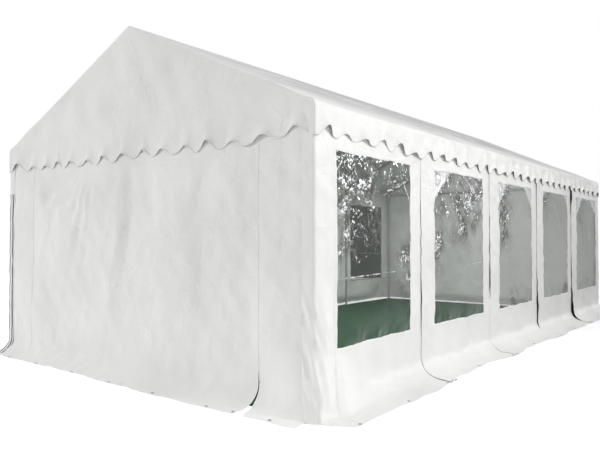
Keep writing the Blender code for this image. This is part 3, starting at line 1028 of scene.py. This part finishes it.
def fabric_material(name, color, roughness, top_shade=0.0):
    """White coated fabric: mottling, grain, handling creases, semi-gloss, and painted shade in streaks where the
    roof faces up.
    """
    material, tree, shader, place = new_material(name)
    mottle = noise(tree, place, 1.3, 4.0)
    shade = tuple(c * 0.93 for c in color)
    tint = mix_colors(tree, ramp(tree, mottle, 0.35, 0.65), (*shade, 1), (*color, 1))
    upward = add_node(tree, "SeparateXYZ", {0: add_node(tree, "NewGeometry").outputs["Normal"]}).outputs[2]
    drawn_out = add_node(tree, "Mapping", {"Vector": place, "Scale": (5.0, 0.7, 5.0)}).outputs[0]
    streaks = noise(tree, drawn_out, 1.0, 4.0)
    split = add_node(tree, "SeparateXYZ", {0: place})
    from_middle = maths(tree, "ABSOLUTE", split.outputs[1])
    # Painted shade: where the roof faces up, its colour is darkened towards grey in streaks, less near the gable
    # ends.
    painted_top_shade = maths(tree, "MULTIPLY", ramp(tree, upward, 0.5, 0.85), ramp(tree, streaks, 0.40, 0.58, 0.45, 1.0))
    painted_top_shade = maths(tree, "MULTIPLY", painted_top_shade, ramp(tree, split.outputs[2], 2.72, 3.1, 0.15 * top_shade, top_shade))
    painted_top_shade = maths(tree, "MULTIPLY", painted_top_shade, ramp(tree, from_middle, 3.2, 4.8, 1.0, 0.35))
    wire(tree, shader.inputs["Base Color"], mix_colors(tree, painted_top_shade, tint, (0.36, 0.36, 0.355, 1)))
    gloss = noise(tree, place, 7.0, 3.0)
    wire(tree, shader.inputs["Roughness"], ramp(tree, gloss, 0.3, 0.7, roughness - 0.06, roughness + 0.08))
    shader.inputs["Specular IOR Level"].default_value = 0.4
    soft = noise(tree, place, 4.5, 3.0, 0.6)
    net = cracks(tree, bent_place(tree, place, 1.5, 0.25), 3.0)
    handled = maths(tree, "MULTIPLY", ramp(tree, net, 0.0, 0.05, 1.0, 0.0), ramp(tree, mottle, 0.5, 0.7))
    grain = noise(tree, place, 420.0, 2.0)
    normal = bump(tree, soft, 0.6, 0.025)
    normal = bump(tree, handled, 0.5, 0.004, normal)
    normal = bump(tree, packing_folds(tree, place), 0.35, 0.005, normal)
    normal = bump(tree, grain, 0.12, 0.0006, normal)
    wire(tree, shader.inputs["Normal"], normal)
    return material


def glint_field(tree, place, slant, scale):
    """A noise drawn out along a slant, whose peaks are painted glints: the small facets of crumpled film that
    catch light.
    """
    values = {"Vector": place, "Rotation": (math.radians(slant), 0.0, 0.0), "Scale": (1.0, 1.0, 2.8)}
    turned = add_node(tree, "Mapping", values, vector_type="TEXTURE").outputs[0]
    return noise(tree, turned, scale, 2.0, 0.4)


def film_material():
    """Clear flexible film: see-through and glossy. Its colour has painted highlights, white glints where it is
    crumpled and white lines along its creases, painted glare above some creases, and a painted reflection that
    turns it light grey at grazing angles. Where crumpled it is also darker and less clear.
    """
    material, tree, shader, place = new_material("window_film")
    crumpled = add_node(tree, "Attribute", attribute_name="crumpled").outputs["Fac"]
    hazed = add_node(tree, "Attribute", attribute_name="hazed").outputs["Fac"]
    crease = add_node(tree, "Attribute", attribute_name="crease").outputs["Vector"]
    crease = add_node(tree, "VectorMath", {0: crease}, operation="ABSOLUTE").outputs[0]
    crease = add_node(tree, "SeparateXYZ", {0: crease})
    nearest = maths(tree, "MINIMUM", crease.outputs[1], crease.outputs[2])
    nearest = maths(tree, "MINIMUM", crease.outputs[0], nearest)
    # Painted highlight: thin white lines along the creases, broken into patches.
    wavy = maths(tree, "ADD", nearest, ramp(tree, noise(tree, place, 14.0, 2.0), 0.3, 0.7, -0.006, 0.006))
    creased = maths(tree, "MULTIPLY", ramp(tree, wavy, 0.0030, 0.0085, 1.0, 0.0), CREASE_HIGHLIGHT)
    creased = maths(tree, "MULTIPLY", creased, ramp(tree, noise(tree, place, 23.0, 3.0), 0.42, 0.54, 0.15, 1.0))

    # Painted highlight: white glints in clumps, densest where the film is crumpled.
    bent = bent_place(tree, place, 5.0, 0.10)
    clump = ramp(tree, noise(tree, place, 7.0, 2.0), 0.36, 0.64, -0.10, 0.06)
    dense = maths(tree, "ADD", ramp(tree, crumpled, 0.05, 0.9, -0.16, 0.03), clump)
    painted_glints = maths(tree, "MAXIMUM", glint_field(tree, bent, -62, 52.0), glint_field(tree, bent, 35, 64.0))
    painted_glints = ramp(tree, maths(tree, "ADD", painted_glints, dense), 0.625, 0.655)
    # Painted reflection: white glare above some creases.
    glare = maths(tree, "MULTIPLY", hazed, ramp(tree, noise(tree, bent, 24.0, 3.0), 0.36, 0.64, 1.0, 0.80))
    # The painted glints, crease highlights and glare whiten the film's colour and make it opaque there.
    white = maths(tree, "MAXIMUM", maths(tree, "MAXIMUM", painted_glints, creased), glare)
    white = maths(tree, "ADD", white, maths(tree, "MULTIPLY", crumpled, 0.04), True)

    facing = add_node(tree, "LayerWeight", {"Blend": 0.42}).outputs["Facing"]
    folded = ramp(tree, crumpled, 0.1, 0.9)
    cover = maths(tree, "ADD", ramp(tree, facing, 0.34, 0.72, 0.24, 0.74), maths(tree, "MULTIPLY", folded, 0.35))
    cover = maths(tree, "ADD", cover, white, True)
    # Painted reflection: the film's colour turns light grey at grazing angles, standing in for the reflected
    # white surroundings.
    tint = mix_colors(tree, ramp(tree, facing, 0.44, 0.76), (*FILM_TINT, 1), (*FILM_GRAZING_REFLECTION, 1))
    tint = mix_colors(tree, folded, tint, (0.02, 0.022, 0.02, 1))
    wire(tree, shader.inputs["Base Color"], mix_colors(tree, white, tint, (0.92, 0.93, 0.93, 1)))
    shader.inputs["Roughness"].default_value = 0.10
    shader.inputs["Specular IOR Level"].default_value = 0.7
    shader.inputs["Coat Weight"].default_value = 0.5
    shader.inputs["Coat Roughness"].default_value = 0.06
    large = cracks(tree, bent, 9.0)
    small = cracks(tree, bent, 31.0)
    normal = bump(tree, noise(tree, place, 3.0, 3.0, 0.5), 0.12, 0.02)
    normal = bump(tree, maths(tree, "MULTIPLY", folded, ramp(tree, large, 0.0, 0.3)), 0.5, 0.020, normal)
    normal = bump(tree, maths(tree, "MULTIPLY", folded, ramp(tree, small, 0.0, 0.3)), 0.4, 0.004, normal)
    wire(tree, shader.inputs["Normal"], normal)
    clear = add_node(tree, "BsdfTransparent", {"Color": (0.90, 0.915, 0.90, 1)})
    output = tree.nodes["Material Output"]
    mixed = add_node(tree, "MixShader", {0: cover, 1: clear.outputs[0], 2: shader.outputs[0]})
    wire(tree, output.inputs["Surface"], mixed.outputs[0])
    return material


def steel_material():
    """Hot-dip galvanised tube with its spangle."""
    material, tree, shader, place = new_material("galvanised_steel")
    cells = add_node(tree, "TexVoronoi", {"Vector": place, "Scale": 55.0}).outputs["Color"]
    value = add_node(tree, "SeparateColor", {"Color": cells}).outputs[0]
    streak = noise(tree, place, 6.0, 3.0)
    dark = mix_colors(tree, value, (0.56, 0.57, 0.58, 1), (0.72, 0.73, 0.74, 1))
    tint = mix_colors(tree, ramp(tree, streak, 0.45, 0.75), dark, (0.62, 0.62, 0.60, 1))
    wire(tree, shader.inputs["Base Color"], tint)
    shader.inputs["Metallic"].default_value = 0.6
    wire(tree, shader.inputs["Roughness"], ramp(tree, value, 0.0, 1.0, 0.34, 0.52))
    wire(tree, shader.inputs["Normal"], bump(tree, value, 0.08, 0.0005))
    return material


def shade_strip_material():
    """Dark woven strip: painted shade behind the joints and zips, so that their gaps look dark; also the dark of
    the eyelet holes.
    """
    material, tree, shader, place = new_material("painted_shade_strip")
    weave = add_node(tree, "TexWave", {"Vector": place, "Scale": 120.0, "Distortion": 0.5}, bands_direction="Z")
    tint = mix_colors(tree, weave.outputs["Fac"], (0.012, 0.012, 0.013, 1), (0.03, 0.03, 0.032, 1))
    wire(tree, shader.inputs["Base Color"], tint)
    shader.inputs["Roughness"].default_value = 0.9
    wire(tree, shader.inputs["Normal"], bump(tree, weave.outputs["Fac"], 0.4, 0.0008))
    return material


# Studio

CAMERA_PLACE = (5.683, -9.271, 1.509)
CAMERA_AZIMUTH = 37.77
CAMERA_ELEVATION = 1.30
FOCAL_PIXELS = 631.6
PICTURE_WIDTH = 600


def add_camera():
    data = bpy.data.cameras.new("camera")
    data.sensor_width = 36.0
    data.lens = FOCAL_PIXELS / PICTURE_WIDTH * data.sensor_width
    data.clip_end = 200.0
    camera = bpy.data.objects.new("camera", data)
    camera.location = CAMERA_PLACE
    camera.rotation_euler = (math.radians(90 + CAMERA_ELEVATION), 0, math.radians(CAMERA_AZIMUTH))
    bpy.context.collection.objects.link(camera)
    bpy.context.scene.camera = camera


def add_sun(name, direction, strength, degrees):
    """Soft light that comes from a direction, as from a far large lamp."""
    data = bpy.data.lights.new(name, "SUN")
    data.energy = strength
    data.angle = math.radians(degrees)
    lamp = bpy.data.objects.new(name, data)
    lamp.rotation_euler = Vector(direction).to_track_quat("Z", "Y").to_euler()
    bpy.context.collection.objects.link(lamp)


def add_lamp(name, place, target, size, power):
    """A soft lamp that shines at a point and isn't seen itself."""
    data = bpy.data.lights.new(name, "AREA")
    data.shape = "RECTANGLE"
    data.size, data.size_y = size
    data.energy = power
    lamp = bpy.data.objects.new(name, data)
    lamp.location = place
    lamp.rotation_euler = (Vector(target) - Vector(place)).to_track_quat("-Z", "Y").to_euler()
    lamp.visible_camera = False
    lamp.visible_glossy = False
    bpy.context.collection.objects.link(lamp)


def add_world():
    """White as the camera sees it, soft light that is brightest overhead, and dark through the clear film."""
    world = bpy.data.worlds.new("studio")
    world.use_nodes = True
    tree = world.node_tree
    background = tree.nodes["Background"]
    up = add_node(tree, "SeparateXYZ", {0: add_node(tree, "TexCoord").outputs["Generated"]}).outputs[2]
    sky = mix_colors(tree, ramp(tree, up, 0.0, 1.0), (0.32, 0.32, 0.32, 1), (0.70, 0.70, 0.705, 1))
    path = add_node(tree, "LightPath")
    through = maths(tree, "GREATER_THAN", path.outputs["Transparent Depth"], 0.5)
    seen = mix_colors(tree, through, (1, 1, 1, 1), (0.05, 0.062, 0.05, 1))
    wire(tree, background.inputs["Color"], mix_colors(tree, path.outputs["Is Camera Ray"], sky, seen))
    background.inputs["Strength"].default_value = 1.0
    bpy.context.scene.world = world


def add_floor():
    """A plain pale floor that fades into the white; beside the far bays it gives back less light, and inside the
    tent it is dark green, for grass and as painted shade.
    """
    material, tree, shader, place = new_material("floor")
    distance = add_node(tree, "VectorMath", {0: place}, operation="LENGTH").outputs["Value"]
    shader.inputs["Roughness"].default_value = 0.9
    shader.inputs["Specular IOR Level"].default_value = 0.0
    shader.inputs["Emission Color"].default_value = (1, 1, 1, 1)
    split = add_node(tree, "SeparateXYZ", {0: place})
    out_x = maths(tree, "GREATER_THAN", maths(tree, "ABSOLUTE", split.outputs[0]), HALF_WIDTH)
    out_y = maths(tree, "GREATER_THAN", maths(tree, "ABSOLUTE", split.outputs[1]), HALF_LENGTH)
    outside = maths(tree, "MAXIMUM", out_x, out_y)
    seen = add_node(tree, "LightPath").outputs["Is Camera Ray"]
    lit = maths(tree, "MULTIPLY", seen, outside)
    wire(tree, shader.inputs["Emission Strength"], maths(tree, "MULTIPLY", lit, 0.75))
    beside = ramp(tree, split.outputs[0], 1.0, 3.0)
    far = maths(tree, "MULTIPLY", beside, ramp(tree, split.outputs[1], -5.0, 2.0))
    pale = mix_colors(tree, far, (0.9, 0.9, 0.9, 1), (0.25, 0.25, 0.25, 1))
    # Inside the tent: dark green for grass, darkened further as painted shade.
    wire(tree, shader.inputs["Base Color"], mix_colors(tree, outside, (0.045, 0.10, 0.06, 1), pale))
    glow = add_node(tree, "Emission", {"Color": (1, 1, 1, 1), "Strength": 1.0})
    fade = maths(tree, "MULTIPLY", ramp(tree, distance, 8.0, 13.0), seen)
    mixed = add_node(tree, "MixShader", {0: fade, 1: shader.outputs[0], 2: glow.outputs[0]})
    wire(tree, tree.nodes["Material Output"].inputs["Surface"], mixed.outputs[0])
    turn = np.linspace(0, 2 * math.pi, 65)
    rim = 14.0 * np.stack([np.cos(turn), np.sin(turn), 0 * turn], axis=-1)
    mesh = bpy.data.meshes.new("floor")
    mesh.from_pydata(rim[:-1].tolist(), [], [list(range(64))])
    mesh.materials.append(material)
    floor = bpy.data.objects.new("floor", mesh)
    bpy.context.collection.objects.link(floor)


def build():
    bpy.context.scene.view_settings.view_transform = "Standard"
    steel = steel_material()
    roof_fabric = fabric_material("roof_fabric", (0.87, 0.87, 0.86), 0.46, top_shade=0.55)
    wall_fabric = fabric_material("wall_fabric", (0.88, 0.88, 0.87), 0.44)
    film = film_material()
    dark = shade_strip_material()
    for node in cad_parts.values():
        for socket in node.material_slots:
            socket.material = steel
    add_roof(roof_fabric, roof_fabric)
    add_side_walls(wall_fabric, film, steel, dark)
    add_end_walls(wall_fabric, steel, dark, wall_fabric)
    add_world()
    add_floor()
    add_lamp("key", (11.5, -3.0, 8.5), (2.5, -2.0, 1.2), (4.0, 4.0), 700.0)
    add_lamp("fill", (-20.0, -18.0, 9.0), (0.0, -5.0, 1.5), (6.0, 6.0), 3000.0)
    add_lamp("inside", (0.0, 0.0, 3.2), (0.0, 0.0, 0.0), (0.8, 8.4), 215.0)
    add_sun("glint", (0.52, 0.82, 0.24), 0.35, 5.0)
    add_camera()


build()
